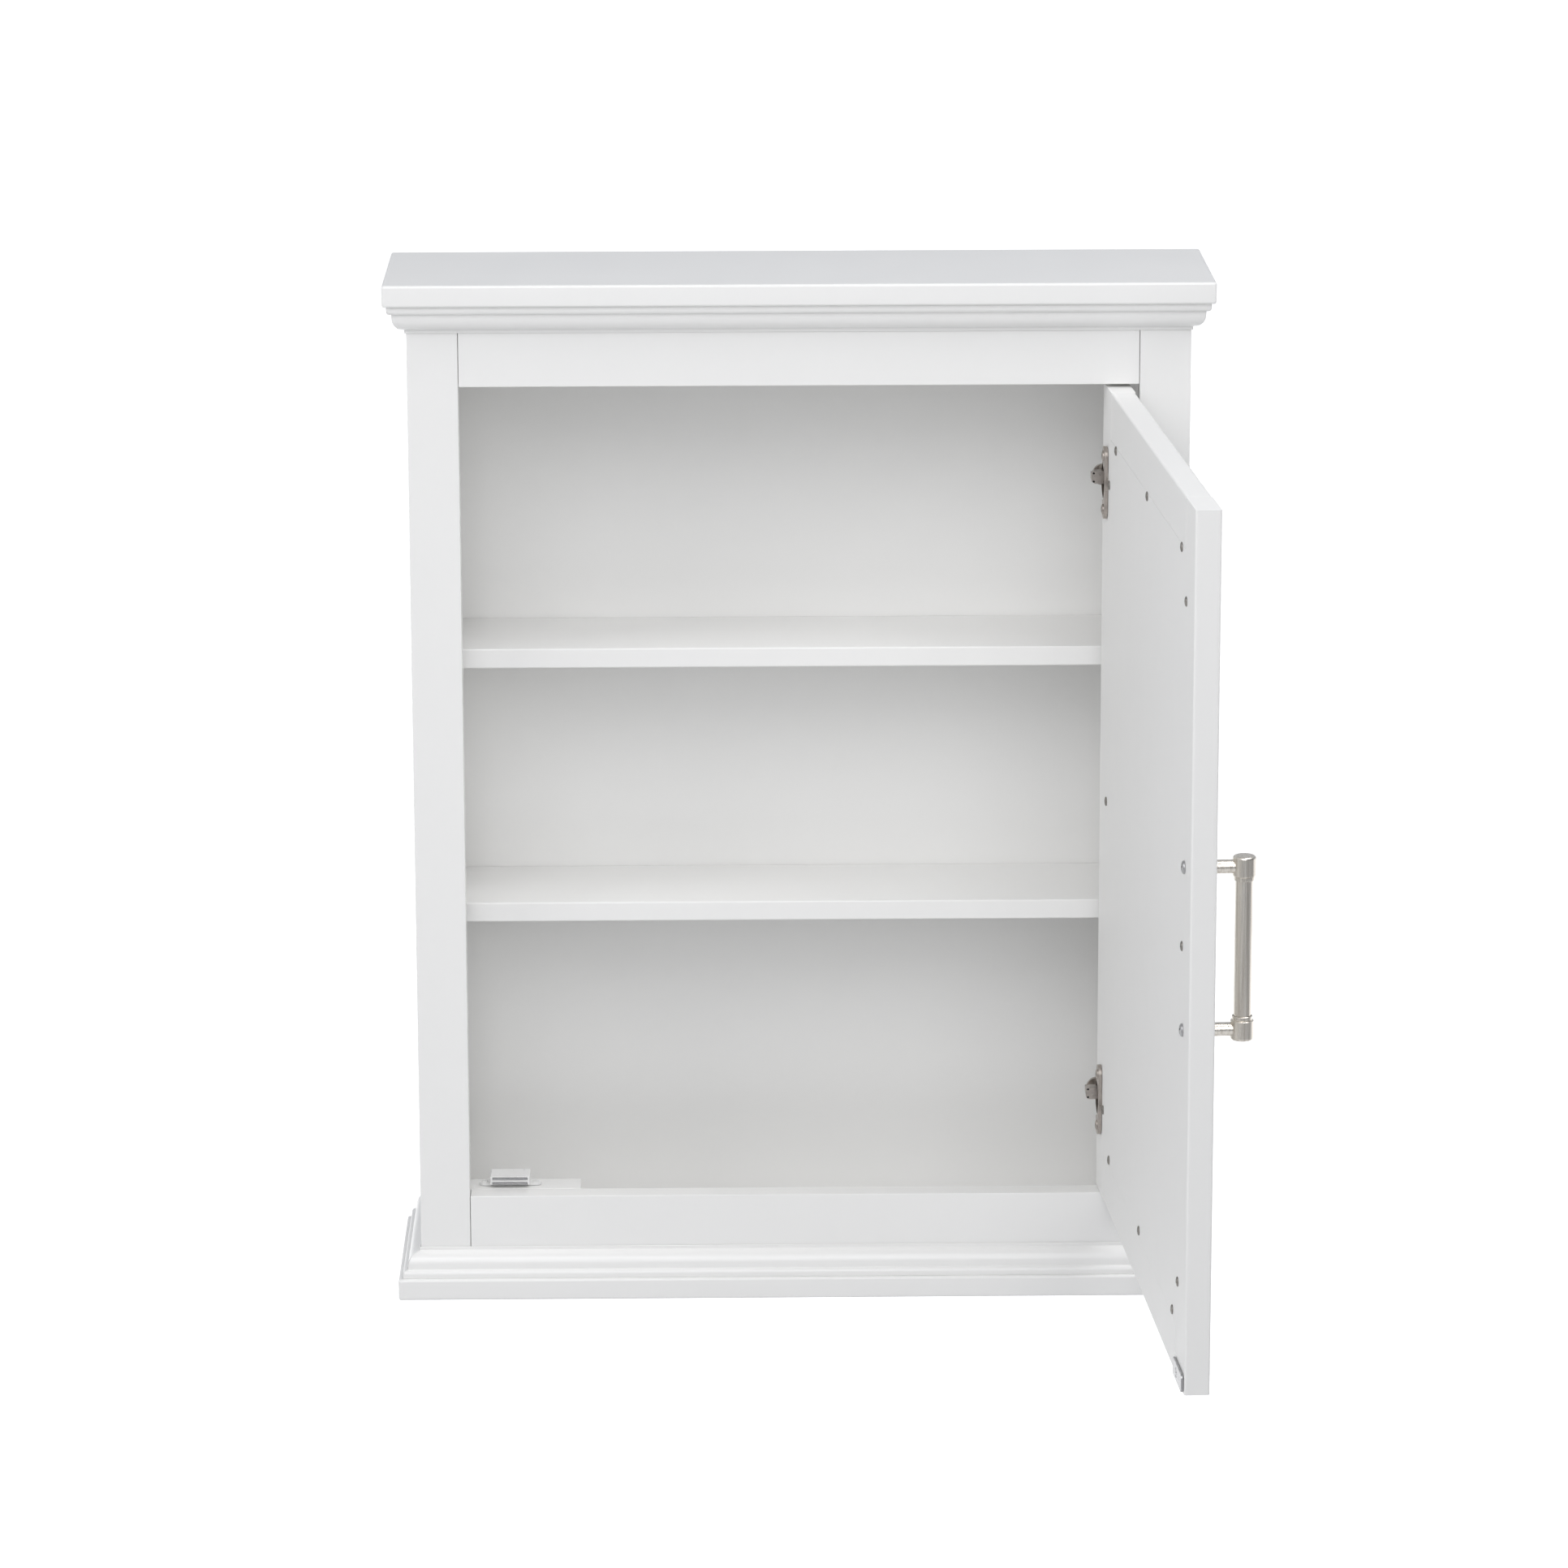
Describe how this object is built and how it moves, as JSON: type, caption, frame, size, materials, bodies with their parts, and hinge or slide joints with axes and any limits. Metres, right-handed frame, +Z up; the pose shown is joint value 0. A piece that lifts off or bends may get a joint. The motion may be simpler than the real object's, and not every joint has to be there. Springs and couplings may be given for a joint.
{
  "type": "hanging wall cabinet",
  "caption": "White wall cabinet with a moulded cornice and base, fixed shelves and one mirrored door on concealed hinges, standing open.",
  "frame": {"origin": "on the wall plane, in the middle of the width, at the height of the two hanging screws (600 mm above the underside of the base)", "axes": "+Z up; -Y is the front, so +Y points into the wall; +X is the cabinet's right as seen from the front, where the door is hinged"},
  "size_m": [0.5126, 0.5186, 0.652],
  "materials": {
    "white_paint": "satin white paint, sprayed over board and moulding",
    "brushed_nickel": "satin brushed nickel plating, slightly warm",
    "hinge_nickel": "pressed steel with a darker, warm nickel plating",
    "zinc_steel": "bright zinc plating",
    "dark_steel": "dark steel poles with the magnet between them",
    "white_plastic": "moulded white plastic",
    "mirror": "silvered float glass"
  },
  "bodies": {
    "cabinet": {"side_panel_left": "white_paint", "side_panel_right": "white_paint", "bottom_panel": "white_paint", "top_panel": "white_paint", "shelf_upper": "white_paint", "shelf_lower": "white_paint", "back_panel": "white_paint", "hanging_rail": "white_paint", "frame_stile_left": "white_paint", "frame_stile_right": "white_paint", "frame_rail_top": "white_paint", "frame_rail_bottom": "white_paint", "cornice_board": "white_paint", "base_board": "white_paint", "cornice_moulding_front": "white_paint", "cornice_moulding_left": "white_paint", "cornice_moulding_right": "white_paint", "base_moulding_front": "white_paint", "base_moulding_left": "white_paint", "base_moulding_right": "white_paint", "hinge_block_upper": "white_paint", "hinge_block_lower": "white_paint", "catch_block": "white_paint", "hinge_plate_upper": "hinge_nickel", "hinge_plate_lower": "hinge_nickel", "hinge_arm_upper": "hinge_nickel", "hinge_arm_lower": "hinge_nickel", "catch_housing": "white_plastic", "catch_magnet": "dark_steel", "catch_screw_left": "zinc_steel", "catch_screw_right": "zinc_steel"},
    "door": {"door_stile_hinge": "white_paint", "door_stile_free": "white_paint", "door_rail_top": "white_paint", "door_rail_bottom": "white_paint", "door_back_panel": "white_paint", "door_mirror": "mirror", "panel_screw_1": "zinc_steel", "panel_screw_2": "zinc_steel", "panel_screw_3": "zinc_steel", "panel_screw_4": "zinc_steel", "panel_screw_5": "zinc_steel", "panel_screw_6": "zinc_steel", "panel_screw_7": "zinc_steel", "panel_screw_8": "zinc_steel", "panel_screw_9": "zinc_steel", "panel_screw_10": "zinc_steel", "panel_screw_11": "zinc_steel", "panel_screw_12": "zinc_steel", "hinge_cup_upper": "hinge_nickel", "hinge_cup_lower": "hinge_nickel", "hinge_pin_upper": "zinc_steel", "hinge_pin_lower": "zinc_steel", "handle_bar": "brushed_nickel", "handle_end_top": "brushed_nickel", "handle_end_bottom": "brushed_nickel", "handle_screw_top": "zinc_steel", "handle_screw_bottom": "zinc_steel", "strike_plate": "zinc_steel", "strike_screw": "zinc_steel"}
  },
  "joints": [
    {"name": "door_swing", "type": "hinge", "parent": "cabinet", "child": "door", "pos_m": [0.1965, -0.1145, -0.275], "axis": [0, 0, 1], "range_deg": [-93.4, 11.6]}
  ]
}
